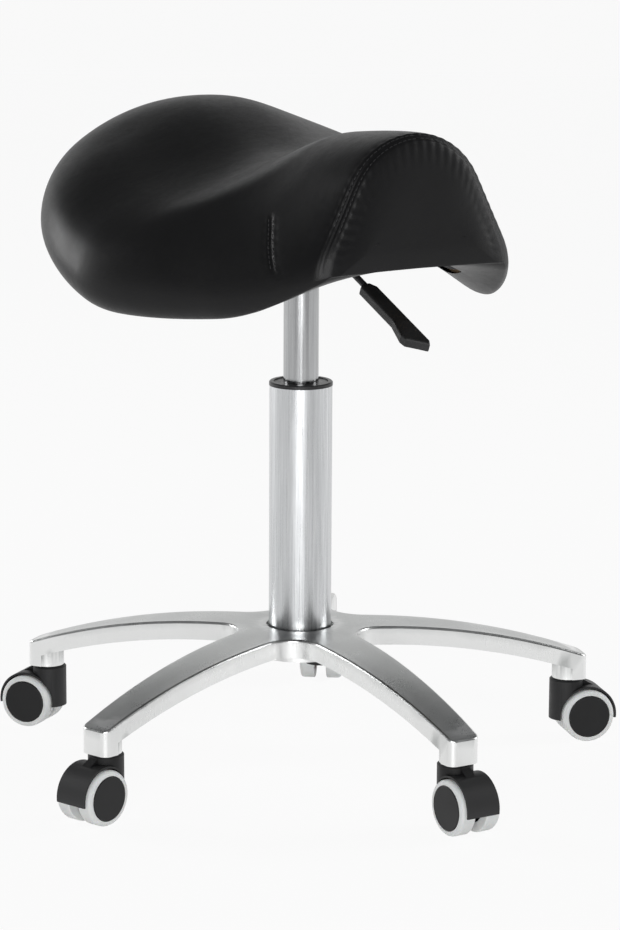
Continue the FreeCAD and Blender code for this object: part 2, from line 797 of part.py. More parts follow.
class Section:
    """The seat's cross section at one place along its length.

    It is a crown arc, two straight flanks, two side arcs and two edge arcs, all
    tangent, closed by the shallow arc of the underside."""

    def __init__(self, forward, inset):
        rear = -seat_rear + inset
        front = seat_front - inset
        three = [-seat_rear, 0.0, seat_front]

        def of_five(table, second):
            keys = ["rear", "cantle", "middle", "thigh", "front"]
            places = [-seat_rear, second, 0.0, thigh_place, seat_front]
            return smooth_value(places, [table[key] for key in keys], forward)

        def of_three(table):
            return smooth_value(three, [table[key] for key in ["rear", "middle", "front"]], forward)

        self.forward = forward
        self.rim = of_five(rim_z, rim_place)
        ridge = of_five(ridge_z, cantle_place)
        side = of_three(side_radius)
        edge = of_three(edge_radius)
        under = of_three(under_z)
        if forward < seat_width_place:
            share = min((seat_width_place - forward) / (seat_width_place + seat_rear), 1.0)
            width = seat_half_width * (1.0 - share ** rear_roundness) ** (1.0 / rear_roundness)
        else:
            width = smooth_value([seat_width_place - 1.0, seat_width_place, thigh_place, seat_front],
                                 [seat_half_width, seat_half_width, thigh_half_width, pommel_half_width],
                                 forward)
        roll = min((forward - rear) / rear_roll, 1.0)
        swell = math.sqrt(max(1.0 - (1.0 - roll) ** 2, 0.0))
        near = min((front - forward) / front_roll, 1.0)
        drawn = front_roll * (1.0 - math.sqrt(max(1.0 - (1.0 - near) ** 2, 0.0)))
        self.half_width = width - inset - drawn
        self.ridge = self.rim + (ridge - inset - self.rim) * swell - drawn
        self.under = self.rim + (under + inset - self.rim) * swell
        self.side = max(side * swell - inset - drawn, 3.0)
        self.edge = max(edge * swell - inset - 0.6 * drawn, 3.0)
        self.flank = math.radians(of_three(flank_angle))
        self.solve()

    def solve(self):
        """Find the crown's radius and the flank's length, which keep the outline tangent."""
        height = self.ridge - self.rim
        self.side = min(self.side, 0.55 * self.half_width, 0.8 * height)
        while True:
            s, c = math.sin(self.flank), math.cos(self.flank)
            reach = self.half_width - self.side * (1.0 - c)
            length = c / (1.0 - s) * (height - self.side * s) - reach
            crown = (reach - length * s) / c
            if length < 0.5:
                self.flank += 0.01
            elif crown < 5.0:
                self.flank -= 0.01
            else:
                break
        self.length = length
        self.crown = crown

    def edge_point(self):
        """Where the underside's arc starts, beside the flap's lower edge."""
        sweep = math.radians(lower_arc_sweep)
        y = self.half_width - self.edge + self.edge * math.cos(sweep)
        return y, self.rim - self.edge * math.sin(sweep)

    def under_height(self, y):
        """Height of the underside's arc at a distance from the middle."""
        edge_y, edge_z = self.edge_point()
        sag = self.under - edge_z
        radius = (edge_y ** 2 + sag ** 2) / (2.0 * sag)
        return self.under - radius + math.sqrt(radius ** 2 - y ** 2)

    def place(self, y, z):
        """A point of the section in the stool's frame, with forwards along -Y."""
        return V(y, -self.forward, z)

    def wire(self):
        s, c = math.sin(self.flank), math.cos(self.flank)
        half = self.flank / 2.0
        crown_y, crown_z = self.crown * c, self.ridge - self.crown * (1.0 - s)
        side_y, side_z = self.half_width - self.side * (1.0 - c), self.rim + self.side * s
        mid_y = self.half_width - self.side * (1.0 - math.cos(half))
        mid_z = self.rim + self.side * math.sin(half)
        turn = math.radians(lower_arc_sweep) / 2.0
        low_y = self.half_width - self.edge * (1.0 - math.cos(turn))
        low_z = self.rim - self.edge * math.sin(turn)
        edge_y, edge_z = self.edge_point()
        p = self.place
        edges = [arc(p(-crown_y, crown_z), p(0, self.ridge), p(crown_y, crown_z))]
        edges.append(line(p(crown_y, crown_z), p(side_y, side_z)))
        edges.append(arc(p(side_y, side_z), p(mid_y, mid_z), p(self.half_width, self.rim)))
        edges.append(arc(p(self.half_width, self.rim), p(low_y, low_z), p(edge_y, edge_z)))
        edges.append(arc(p(edge_y, edge_z), p(0, self.under), p(-edge_y, edge_z)))
        edges.append(arc(p(-edge_y, edge_z), p(-low_y, low_z), p(-self.half_width, self.rim)))
        edges.append(arc(p(-self.half_width, self.rim), p(-mid_y, mid_z), p(-side_y, side_z)))
        edges.append(line(p(-side_y, side_z), p(-crown_y, crown_z)))
        return Part.Wire(edges)


def seat_form(inset):
    """The cushion's full form, or the same form drawn in by an inset."""
    rear = -seat_rear + inset
    front = seat_front - inset
    places = [rear + share * rear_roll for share in (0.02, 0.12, 0.35, 0.7, 1.2)]
    places += [cantle_place, (cantle_place + seat_width_place) / 2.0, seat_width_place, 0.0]
    places += [thigh_place / 2.0, thigh_place, (thigh_place + seat_front) / 2.0]
    places += [front - share * front_roll for share in (1.6, 0.5, 0.0)]
    return Part.makeLoft([Section(place, inset).wire() for place in places], True, False)


def arch_band(side_inset, rear_inset, front_inset, low, high):
    """A band along the underside's arch, from a low to a high offset above it."""
    rear = -seat_rear + rear_inset
    front = seat_front - front_inset
    steps = 7
    wires = []
    for step in range(steps):
        section = Section(rear + (front - rear) * step / (steps - 1.0), 0.0)
        y = section.edge_point()[0] - side_inset
        foot = section.under_height(y)
        p = section.place
        wires.append(Part.Wire([
            arc(p(-y, foot + low), p(0, section.under + low), p(y, foot + low)),
            line(p(y, foot + low), p(y, foot + high)),
            arc(p(y, foot + high), p(0, section.under + high), p(-y, foot + high)),
            line(p(-y, foot + high), p(-y, foot + low)),
        ]))
    return Part.makeLoft(wires, True, False)


def box_about_axis(half_x, half_y, low, high):
    return Part.makeBox(2.0 * half_x, 2.0 * half_y, high - low, V(-half_x, -half_y, low))


pad_half_x = plate_half_width + pad_margin
pad_half_y = plate_half_length + pad_margin
pad_top_z = pad_z + pad_thickness


def pad_block(low):
    """The block that stiffens the pan round its flat pad."""
    return box_about_axis(pad_half_x + pad_wall, pad_half_y + pad_wall, low, pad_top_z)


def bolt_places():
    return [V(x, y, 0) for x in (-bolt_x, bolt_x) for y in (-bolt_y, bolt_y)]


def drilled(shape, radius, low, high):
    for place in bolt_places():
        shape = shape.cut(Part.makeCylinder(radius, high - low, place + V(0, 0, low)))
    return shape


def seat_pan(recess):
    """Moulded pan that follows the arch, with a flat pad over the seat plate."""
    pan = arch_band(pan_edge_inset, pan_end_inset, pan_end_inset, cover_thickness,
                    cover_thickness + pan_thickness)
    frame = pad_block(pad_z - pan_thickness).common(
        arch_band(pan_edge_inset, pan_end_inset, pan_end_inset, cover_thickness, 3.0 * pan_thickness))
    pan = pan.fuse(frame).cut(recess).removeSplitter()
    pan = drilled(pan, tee_barrel_radius, pad_z - 1.0, pad_top_z + 1.0)
    return drilled(pan, tee_flange_radius + touch_gap, pad_top_z, pad_top_z + 4.0 * tee_flange_thickness)


def seat_foam(inner_form, pan_space, nut_space):
    return inner_form.cut(pan_space).cut(pad_block(0)).cut(nut_space)


def seat_plate():
    """Pressed plate with a channel and the taper socket for the cylinder."""
    low = pad_z - plate_thickness
    plate = box_about_axis(plate_half_width, plate_half_length, low, pad_z)
    corners = [e for e in plate.Edges if abs(e.tangentAt(e.FirstParameter).z) > 0.9]
    plate = plate.makeFillet(plate_corner, corners)
    length = channel_rear + channel_front
    web = Part.makeBox(channel_wall, length, low - channel_bottom_z,
                       V(channel_half_width - channel_wall, -channel_front, channel_bottom_z))
    floor = Part.makeBox(2.0 * channel_half_width, length, channel_wall,
                         V(-channel_half_width, -channel_front, channel_bottom_z))
    socket = cylinder(socket_radius, socket_bottom_z, cylinder_top_z)
    plate = plate.fuse([web, web.mirror(ORIGIN, V(1, 0, 0)), floor, socket])
    taper = turned([
        (0, socket_bottom_z - 1.0),
        (cylinder_outer(socket_bottom_z), socket_bottom_z - 1.0),
        (cylinder_outer(socket_bottom_z), socket_bottom_z),
        (cylinder_outer(cylinder_top_z), cylinder_top_z),
        (0, cylinder_top_z),
    ])
    plate = plate.cut(taper)
    pivot_hole = Part.makeCylinder(pivot_radius, 4.0 * channel_half_width,
                                   V(-2.0 * channel_half_width, -pivot_forward, lever_z), V(1, 0, 0))
    plate = plate.cut(pivot_hole)
    return drilled(plate, bolt_radius + bolt_clearance, low - 1.0, pad_z + 1.0).removeSplitter()


def plate_bolts():
    """Socket-head screws from below, through washer, plate and tee nut."""
    head_top = pad_z - plate_thickness - washer_thickness
    bolts = []
    for place in bolt_places():
        head = Part.makeCylinder(bolt_head_radius, bolt_head_height, place + V(0, 0, head_top - bolt_head_height))
        shank = Part.makeCylinder(bolt_radius, pad_top_z - head_top, place + V(0, 0, head_top))
        key = Part.makeCylinder(bolt_key_radius, bolt_key_depth, place + V(0, 0, head_top - bolt_head_height))
        bolts.append(head.fuse(shank).cut(key).removeSplitter())
    return Part.makeCompound(bolts)


def bolt_washers():
    low = pad_z - plate_thickness - washer_thickness
    rings = []
    for place in bolt_places():
        shape = ring(washer_radius, bolt_radius, low, low + washer_thickness)
        shape.translate(place)
        rings.append(shape)
    return Part.makeCompound(rings)


def tee_nuts():
    nuts = []
    for place in bolt_places():
        nut = turned([
            (bolt_radius, pad_z),
            (tee_barrel_radius, pad_z),
            (tee_barrel_radius, pad_top_z),
            (tee_flange_radius, pad_top_z),
            (tee_flange_radius, pad_top_z + tee_flange_thickness),
            (bolt_radius, pad_top_z + tee_flange_thickness),
        ])
        nut.translate(place)
        nuts.append(nut)
    return Part.makeCompound(nuts)


def tee_nut_space():
    """The pockets in the foam over the nuts."""
    pockets = []
    for place in bolt_places():
        pockets.append(Part.makeCylinder(tee_flange_radius + touch_gap, tee_flange_thickness + touch_gap,
                                         place + V(0, 0, pad_top_z)))
    return Part.makeCompound(pockets)


def lever_pivot_pin():
    half = channel_half_width + touch_gap
    pin = Part.makeCylinder(pivot_radius, 2.0 * half, V(-half, -pivot_forward, lever_z), V(1, 0, 0))
    for side in (-1.0, 1.0):
        head = Part.makeCylinder(pivot_head_radius, pivot_head_thickness,
                                 V(side * half, -pivot_forward, lever_z), V(side, 0, 0))
        pin = pin.fuse(head)
    return pin.removeSplitter()


def lever_point(forward):
    """Height of the lever's centre line past its bend."""
    return lever_bend_z - (forward - lever_bend_forward) * math.tan(math.radians(lever_droop))


def rod_between(a, b, radius):
    return Part.makeCylinder(radius, (b - a).Length, a, b - a)


def lever_rod():
    """Bent rod with an eye on the pivot pin; its inner end lies over the release pin."""
    inner = V(0, pin_radius, lever_z)
    pivot = V(0, -pivot_forward, lever_z)
    bend = V(0, -lever_bend_forward, lever_bend_z)
    end_forward = grip_start_forward + rod_in_grip
    end = V(0, -end_forward, lever_point(end_forward))
    rod = rod_between(inner, pivot, lever_radius)
    rod = rod.fuse([
        rod_between(pivot, bend, lever_radius),
        Part.makeSphere(lever_radius, bend),
        rod_between(bend, end, lever_radius),
        Part.makeCylinder(eye_radius, 2.0 * eye_half_width, pivot - V(eye_half_width, 0, 0), V(1, 0, 0)),
    ])
    hole = Part.makeCylinder(pivot_radius + running_clearance, 4.0 * eye_half_width,
                             pivot - V(2.0 * eye_half_width, 0, 0), V(1, 0, 0))
    return rod.cut(hole).removeSplitter()


def lever_grip():
    """Flat paddle with one straight side, a bulge on the other and a blunt point."""

    def p(along, side):
        return V(side, -along, -grip_thickness / 2.0)

    outline = [
        p(0, 4.0 - grip_neck_side),
        p(4.0, -grip_neck_side),
        p(grip_bulge_place - 21.0, -grip_neck_side),
        p(grip_bulge_place, -grip_bulge_side),
        p(grip_bulge_place + 6.0, 1.0 - grip_bulge_side),
        p(grip_length - 4.0, grip_tip_side - 6.0),
        p(grip_length, grip_tip_side),
        p(grip_length - 5.0, grip_straight_side),
        p(6.0, grip_straight_side),
        p(0, grip_straight_side - 4.0),
    ]
    face = Part.Face(Part.makePolygon(outline + [outline[0]]))
    grip = face.extrude(V(0, 0, grip_thickness))
    flat_edges = [e for e in grip.Edges if abs(e.tangentAt(e.FirstParameter).z) < 0.1]
    grip = grip.makeFillet(grip_round, flat_edges)
    grip.rotate(ORIGIN, V(1, 0, 0), lever_droop)
    grip.translate(V(0, -grip_start_forward, lever_point(grip_start_forward)))
    end_forward = grip_start_forward + rod_in_grip
    start = V(0, -grip_start_forward + 4.0, lever_point(grip_start_forward - 4.0))
    socket = rod_between(start, V(0, -end_forward, lever_point(end_forward)), lever_radius)
    return grip.cut(socket)


def build_seat():
    """Cover, foam, pan and cloth, cut from the same form so that they nest."""
    outer = seat_form(0.0)
    inner = seat_form(cover_thickness)
    pan = seat_pan(box_about_axis(pad_half_x, pad_half_y, 0, pad_z))
    pan_space = arch_band(pan_edge_inset, pan_end_inset, pan_end_inset, -30.0, cover_thickness + pan_thickness)
    lip = pan_edge_inset + cover_lip
    end_lip = pan_end_inset + cover_lip
    opening = arch_band(lip, end_lip, end_lip, -30.0, cover_thickness + 1.0)
    cover = outer.cut(inner).cut(opening)
    foam = seat_foam(inner, pan_space, tee_nut_space())
    cloth = arch_band(lip + cloth_gap, end_lip + cloth_gap, end_lip + cloth_gap,
                      cover_thickness - cloth_thickness - cloth_gap, cover_thickness - cloth_gap)
    cloth = cloth.cut(box_about_axis(pad_half_x, pad_half_y, 0, pad_top_z))
    export(cover.cut(pan), "seat_cover")
    export(foam, "seat_foam")
    export(pan, "seat_pan")
    export(cloth, "underside_cloth")


def build_casters():
    hood = caster_hood()
    axle = caster_axle()
    core = wheel_core()
    tyre = tread()
    for index in range(arm_count):
        number = "_" + str(index + 1)
        export(at_arm(hood, index), "caster_hood" + number)
        export(at_arm(axle, index), "caster_axle" + number)
        export(at_arm(core, index), "wheel_core_left" + number)
        export(at_arm(mirrored(core), index), "wheel_core_right" + number)
        export(at_arm(tyre, index), "tread_left" + number)
        export(at_arm(mirrored(tyre), index), "tread_right" + number)
    stems = [at_arm(caster_stem(), index) for index in range(arm_count)]
    rings = [at_arm(stem_grip_ring(), index) for index in range(arm_count)]
    export(Part.makeCompound(stems), "caster_stems")
    export(Part.makeCompound(rings), "stem_grip_rings")


def build():
    os.makedirs("parts", exist_ok=True)
    export(base_casting(), "base_casting")
    export(column_tube(), "column_tube")
    export(guide_bush(), "guide_bush")
    export(bearing_lower_race(), "bearing_lower_race")
    export(bearing_upper_race(), "bearing_upper_race")
    export(bearing_balls(), "bearing_balls")
    export(bearing_cage(), "bearing_cage")
    export(piston_rod(), "piston_rod")
    export(rod_clip(), "rod_clip")
    export(rubber_bumper(), "rubber_bumper")
    export(piston(), "piston")
    export(piston_seal(), "piston_seal")
    export(gas_cylinder(), "gas_cylinder")
    export(cylinder_gland(), "cylinder_gland")
    export(valve_body(), "valve_body")
    export(release_pin(), "release_pin")
    export(seat_plate(), "seat_plate")
    export(plate_bolts(), "plate_bolts")
    export(bolt_washers(), "bolt_washers")
    export(tee_nuts(), "tee_nuts")
    export(lever_pivot_pin(), "lever_pivot_pin")
    export(lever_rod(), "lever_rod")
    export(lever_grip(), "lever_grip")
    build_seat()
    build_casters()


build()
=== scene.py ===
import json
import math

import bpy
import numpy as np
from mathutils import Matrix, Vector


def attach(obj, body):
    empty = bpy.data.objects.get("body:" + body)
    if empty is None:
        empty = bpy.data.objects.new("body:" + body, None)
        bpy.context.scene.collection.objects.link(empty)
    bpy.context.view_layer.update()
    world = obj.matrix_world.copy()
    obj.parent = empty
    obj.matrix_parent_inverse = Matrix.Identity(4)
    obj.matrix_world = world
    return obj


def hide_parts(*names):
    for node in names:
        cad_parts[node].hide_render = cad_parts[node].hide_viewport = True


# Saddle stool. Metres, +Z up, the pommel along -Y.

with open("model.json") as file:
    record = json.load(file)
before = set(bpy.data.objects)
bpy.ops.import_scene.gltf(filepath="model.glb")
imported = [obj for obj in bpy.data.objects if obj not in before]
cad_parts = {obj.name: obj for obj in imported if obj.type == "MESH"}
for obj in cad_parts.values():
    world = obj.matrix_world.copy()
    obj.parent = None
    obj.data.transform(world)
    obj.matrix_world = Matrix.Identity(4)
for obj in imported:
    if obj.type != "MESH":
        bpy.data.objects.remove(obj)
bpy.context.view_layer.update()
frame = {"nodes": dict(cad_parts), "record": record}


# Camera: its place and turn were worked out from the photographed edges.

CAMERA_AZIMUTH = math.radians(31.4)
CAMERA_DISTANCE = 2.677
CAMERA_HEIGHT = 0.7933
CAMERA_PITCH = math.radians(11.70)
CAMERA_YAW = math.radians(0.16)
CAMERA_ROLL = math.radians(0.29)
CAMERA_LENS, CAMERA_SENSOR = 133.03, 36.0


def turned(x, y, z):
    """A direction seen from the camera's side, in the stool's frame."""
    c, s = math.cos(CAMERA_AZIMUTH), math.sin(CAMERA_AZIMUTH)
    return Vector((x * c + y * s, -x * s + y * c, z))


def add_camera():
    cp, sp = math.cos(CAMERA_PITCH), math.sin(CAMERA_PITCH)
    cy, sy = math.cos(CAMERA_YAW), math.sin(CAMERA_YAW)
    right = turned(cy, -sy, 0)
    forward = turned(sy * cp, cy * cp, -sp)
    up = turned(sy * sp, cy * sp, cp)
    cr, sr = math.cos(CAMERA_ROLL), math.sin(CAMERA_ROLL)
    across = right * cr + up * sr
    upward = up * cr - right * sr
    place = turned(0, -CAMERA_DISTANCE, CAMERA_HEIGHT)
    camera = bpy.data.objects.new("camera", bpy.data.cameras.new("camera"))
    bpy.context.scene.collection.objects.link(camera)
    turn = Matrix((across, upward, -forward)).transposed().to_4x4()
    camera.matrix_world = Matrix.Translation(place) @ turn
    camera.data.sensor_fit = "VERTICAL"
    camera.data.sensor_height = CAMERA_SENSOR
    camera.data.lens = CAMERA_LENS
    camera.data.clip_end = 50.0
    bpy.context.scene.camera = camera


# Material helpers

class Nodes:
    """A short way to write a node tree."""

    def __init__(self, name):
        self.material = bpy.data.materials.new(name)
        self.material.use_nodes = True
        self.tree = self.material.node_tree
        self.shader = self.tree.nodes["Principled BSDF"]

    def add(self, kind, **values):
        node = self.tree.nodes.new(kind)
        for key, value in values.items():
            if hasattr(node, key):
                setattr(node, key, value)
            else:
                node.inputs[key.replace("_", " ")].default_value = value
        return node

    def link(self, a, b):
        self.tree.links.new(a, b)

    def set(self, **values):
        for key, value in values.items():
            self.shader.inputs[key.replace("_", " ")].default_value = value

    def coordinates(self, scale=(1, 1, 1)):
        place = self.add("ShaderNodeTexCoord")
        mapping = self.add("ShaderNodeMapping")
        mapping.inputs["Scale"].default_value = scale
        self.link(place.outputs["Object"], mapping.inputs["Vector"])
        return mapping.outputs["Vector"]

    def noise(self, vector, scale, detail=4.0, roughness=0.55):
        node = self.add("ShaderNodeTexNoise", Scale=scale, Detail=detail, Roughness=roughness)
        self.link(vector, node.inputs["Vector"])
        return node.outputs["Fac"]

    def cells(self, vector, scale, feature="DISTANCE_TO_EDGE"):
        node = self.add("ShaderNodeTexVoronoi", Scale=scale)
        node.feature = feature
        self.link(vector, node.inputs["Vector"])
        return node.outputs["Distance"]

    def ramp(self, value, low, high, start, end):
        """Maps a value between low and high to a number between start and end."""
        node = self.add("ShaderNodeMapRange")
        for key, number in zip(("From Min", "From Max", "To Min", "To Max"), (low, high, start, end)):
            node.inputs[key].default_value = number
        self.link(value, node.inputs["Value"])
        return node.outputs["Result"]

    def colours(self, value, low, high, start, end):
        """A blend between two colours as a value goes from low to high."""
        node = self.add("ShaderNodeValToRGB")
        first, last = node.color_ramp.elements
        first.position, last.position = low, high
        first.color = (*start, 1)
        last.color = (*end, 1)
        self.link(value, node.inputs["Fac"])
        return node.outputs["Color"]

    def mix(self, factor, below, colour):
        """A plain colour laid over what is below, by a factor."""
        node = self.add("ShaderNodeMix", data_type="RGBA")
        self.link(factor, node.inputs[0])
        self.link(below, node.inputs[6])
        node.inputs[7].default_value = (*colour, 1)
        return node.outputs[2]

    def maths(self, operation, a, b):
        node = self.add("ShaderNodeMath", operation=operation)
        for index, value in enumerate((a, b)):
            if isinstance(value, (int, float)):
                node.inputs[index].default_value = value
            else:
                self.link(value, node.inputs[index])
        return node.outputs["Value"]

    def edges(self, low=0.50, high=0.58):
        """White on sharp outer edges, from the mesh's own curvature: a mask for painted highlight."""
        place = self.add("ShaderNodeNewGeometry")
        return self.ramp(place.outputs["Pointiness"], low, high, 0.0, 1.0)

    def bump(self, height, strength, distance, below=None):
        node = self.add("ShaderNodeBump", Strength=strength, Distance=distance)
        self.link(height, node.inputs["Height"])
        if below is not None:
            self.link(below, node.inputs["Normal"])
        return node.outputs["Normal"]

    def finish(self, colour, roughness, normal):
        self.link(colour, self.shader.inputs["Base Color"])
        self.link(roughness, self.shader.inputs["Roughness"])
        self.link(normal, self.shader.inputs["Normal"])
        return self.material


def cast_aluminium():
    """Satin cast aluminium, linished, with a painted highlight on its sharp edges."""
    n = Nodes("cast_aluminium")
    n.set(Metallic=1.0)
    at = n.coordinates()
    cloud = n.noise(at, 30.0)
    fine = n.noise(at, 1900.0, 2.0)
    streak = n.noise(n.coordinates((900.0, 900.0, 60.0)), 1.0, 3.0)
    tone = n.maths("ADD", n.maths("MULTIPLY", cloud, 0.45), n.maths("MULTIPLY", fine, 0.55))
    colour = n.colours(tone, 0.30, 0.70, (0.42, 0.43, 0.425), (0.56, 0.57, 0.565))
    # Painted highlight: sharp outer edges lightened to pale aluminium, under any lamp.
    colour = n.mix(n.edges(0.505, 0.56), colour, (0.80, 0.805, 0.80))
    rough = n.maths("ADD", n.ramp(cloud, 0.3, 0.7, 0.26, 0.36), n.ramp(streak, 0.3, 0.7, -0.03, 0.05))
    normal = n.bump(fine, 0.22, 0.0002)
    normal = n.bump(streak, 0.16, 0.0003, normal)
    return n.finish(colour, rough, normal)


def brushed_steel(name, dark, light, low, high, scale, strength):
    """Steel with fine lines; the scale says which way they run."""
    n = Nodes(name)
    n.set(Metallic=1.0)
    lines = n.noise(n.coordinates(scale), 1.0, 5.0, 0.6)
    cloud = n.noise(n.coordinates(), 22.0)
    colour = n.colours(lines, 0.32, 0.68, dark, light)
    rough = n.maths("ADD", n.ramp(lines, 0.3, 0.7, low, high), n.ramp(cloud, 0.3, 0.7, -0.03, 0.03))
    normal = n.bump(lines, strength, 0.0002)
    return n.finish(colour, rough, normal)


def moulded_plastic(name, dark, light, low, high, grain, strength):
    """Satin plastic with a fine moulded texture and a painted highlight on its sharp edges."""
    n = Nodes(name)
    at = n.coordinates()
    texture = n.cells(at, grain)
    cloud = n.noise(at, 45.0)
    colour = n.colours(cloud, 0.3, 0.7, dark, light)
    # Painted highlight: a paler colour laid on sharp outer edges.
    edge_highlight_colour = tuple(min(1.0, c * 1.5 + 0.01) for c in light)
    colour = n.mix(n.edges(0.52, 0.62), colour, edge_highlight_colour)
    rough = n.ramp(cloud, 0.3, 0.7, low, high)
    normal = n.bump(texture, strength, 0.0002)
    n.set(Specular_IOR_Level=0.28)
    return n.finish(colour, rough, normal)


def tread_rubber():
    """White polyurethane, a little grey where it has rolled."""
    n = Nodes("white_tread")
    at = n.coordinates()
    cloud = n.noise(at, 70.0)
    fine = n.noise(at, 1500.0, 3.0)
    colour = n.colours(cloud, 0.35, 0.7, (0.88, 0.88, 0.87), (0.80, 0.80, 0.79))
    rough = n.ramp(cloud, 0.3, 0.7, 0.42, 0.58)
    normal = n.bump(fine, 0.15, 0.0002)
    n.set(Subsurface_Weight=0.05)
    return n.finish(colour, rough, normal)


def black_leather():
    """Smooth black upholstery leather with a fine pebbled grain and soft creases."""
    n = Nodes("black_leather")
    at = n.coordinates()
    warp = n.noise(at, 180.0, 3.0)
    grain = n.cells(at, 950.0)
    small = n.cells(at, 1900.0)
    crease = n.noise(n.coordinates((22.0, 34.0, 30.0)), 1.0, 6.0, 0.6)
    cloud = n.noise(at, 9.0, 3.0)
    colour = n.colours(cloud, 0.3, 0.7, (0.006, 0.006, 0.0065), (0.010, 0.010, 0.0105))
    rough = n.maths("ADD", n.ramp(cloud, 0.3, 0.7, 0.36, 0.42), n.ramp(grain, 0.0, 0.25, 0.05, -0.02))
    rough = n.maths("ADD", rough, n.ramp(warp, 0.3, 0.7, -0.02, 0.03))
    normal = n.bump(crease, 0.10, 0.004)
    normal = n.bump(grain, 0.20, 0.0004, normal)
    normal = n.bump(small, 0.10, 0.0002, normal)
    n.set(Specular_IOR_Level=0.19)
    return n.finish(colour, rough, normal)


def thread():
    n = Nodes("black_thread")
    at = n.coordinates()
    twist = n.noise(at, 2600.0, 2.0)
    colour = n.colours(twist, 0.35, 0.65, (0.010, 0.010, 0.011), (0.035, 0.035, 0.037))
    rough = n.ramp(twist, 0.3, 0.7, 0.45, 0.65)
    return n.finish(colour, rough, n.bump(twist, 0.4, 0.0003))


def plywood():
    n = Nodes("moulded_plywood")
    grain = n.noise(n.coordinates((160.0, 9.0, 160.0)), 1.0, 6.0, 0.6)
    layers = n.noise(n.coordinates((4.0, 4.0, 700.0)), 1.0, 1.0)
    tone = n.maths("ADD", n.maths("MULTIPLY", grain, 0.75), n.maths("MULTIPLY", layers, 0.25))
    colour = n.colours(tone, 0.3, 0.7, (0.34, 0.21, 0.11), (0.58, 0.41, 0.24))
    rough = n.ramp(grain, 0.3, 0.7, 0.55, 0.75)
    return n.finish(colour, rough, n.bump(grain, 0.3, 0.0004))


def woven_cloth():
    n = Nodes("dust_cloth")
    at = n.coordinates((1.0, 1.0, 0.2))
    weave = n.add("ShaderNodeTexWave", Scale=520.0, Distortion=0.6, Detail=1.0)
    cross = n.add("ShaderNodeTexWave", Scale=520.0, Distortion=0.6, Detail=1.0)
    cross.bands_direction = "Y"
    n.link(at, weave.inputs["Vector"])
    n.link(at, cross.inputs["Vector"])
    height = n.maths("ADD", weave.outputs["Fac"], cross.outputs["Fac"])
    fuzz = n.noise(at, 60.0)
    colour = n.colours(fuzz, 0.3, 0.7, (0.010, 0.010, 0.011), (0.024, 0.024, 0.026))
    rough = n.ramp(fuzz, 0.3, 0.7, 0.80, 0.95)
    return n.finish(colour, rough, n.bump(height, 0.5, 0.0003))


def open_foam():
    n = Nodes("seat_foam")
    at = n.coordinates()
    pores = n.cells(at, 900.0, "F1")
    colour = n.colours(pores, 0.1, 0.7, (0.44, 0.40, 0.28), (0.70, 0.66, 0.50))
    rough = n.ramp(pores, 0.0, 0.8, 0.85, 1.0)
    return n.finish(colour, rough, n.bump(pores, 0.6, 0.0006))


# Steel: dark and light colour, lowest and highest roughness, scale of the lines, bump

ALONG_Z = (700.0, 700.0, 14.0)
TURNED = (300.0, 300.0, 900.0)
STEELS = {
    "column_steel": ((0.50, 0.51, 0.52), (0.66, 0.67, 0.68), 0.24, 0.34, ALONG_Z, 0.25),
    "cylinder_steel": ((0.34, 0.345, 0.35), (0.46, 0.465, 0.47), 0.16, 0.24, ALONG_Z, 0.12),
    "rod_steel": ((0.45, 0.46, 0.47), (0.60, 0.61, 0.62), 0.15, 0.25, TURNED, 0.1),
    "bearing_steel": ((0.42, 0.43, 0.44), (0.58, 0.59, 0.60), 0.12, 0.2, TURNED, 0.1),
    "zinc_steel": ((0.42, 0.42, 0.39), (0.60, 0.60, 0.57), 0.28, 0.42, (240.0, 240.0, 240.0), 0.2),
}

# Plastic: dark and light colour, lowest and highest roughness, grain of the mould, bump

PLASTICS = {
    "plate_black": ((0.010, 0.010, 0.011), (0.020, 0.020, 0.022), 0.38, 0.52, 1500.0, 0.35),
    "bush_plastic": ((0.012, 0.012, 0.013), (0.022, 0.022, 0.023), 0.28, 0.38, 2200.0, 0.15),
    "grip_plastic": ((0.010, 0.010, 0.010), (0.020, 0.020, 0.021), 0.42, 0.58, 900.0, 0.45),
    "caster_plastic": ((0.008, 0.008, 0.0085), (0.013, 0.013, 0.0135), 0.40, 0.52, 1500.0, 0.25),
    "black_rubber": ((0.012, 0.012, 0.012), (0.022, 0.022, 0.022), 0.6, 0.75, 1200.0, 0.3),
    "cage_nylon": ((0.62, 0.60, 0.54), (0.74, 0.72, 0.66), 0.35, 0.45, 1800.0, 0.15),
}
MATERIAL_NAMES = {"plate_black": "powder_coat"}


def build_materials():
    materials = {
        "brushed_aluminium": cast_aluminium(),
        "tread_white": tread_rubber(),
        "cover_leather": black_leather(),
        "foam": open_foam(),
        "plywood": plywood(),
        "cloth": woven_cloth(),
    }
    for slot, values in STEELS.items():
        materials[slot] = brushed_steel(slot, *values)
    for slot, values in PLASTICS.items():
        materials[slot] = moulded_plastic(MATERIAL_NAMES.get(slot, slot), *values)
    return materials


def dress(obj, material):
    obj.data.materials.clear()
    obj.data.materials.append(material)


# Seat leather. Lengths in millimetres; s runs forwards from the column's axis.

REAR, FRONT = -215.7, 168.5
WIDEST, THIGH = -32.0, 80.0
HALF_WIDTH, THIGH_WIDTH, POMMEL_WIDTH = 184.0, 135.7, 80.7
ROUNDNESS = 2.27
REAR_ROLL, FRONT_ROLL = 34.0, 11.0

# Curves along the seat as (s, value): heights above the floor, radii and the flank's slope in degrees

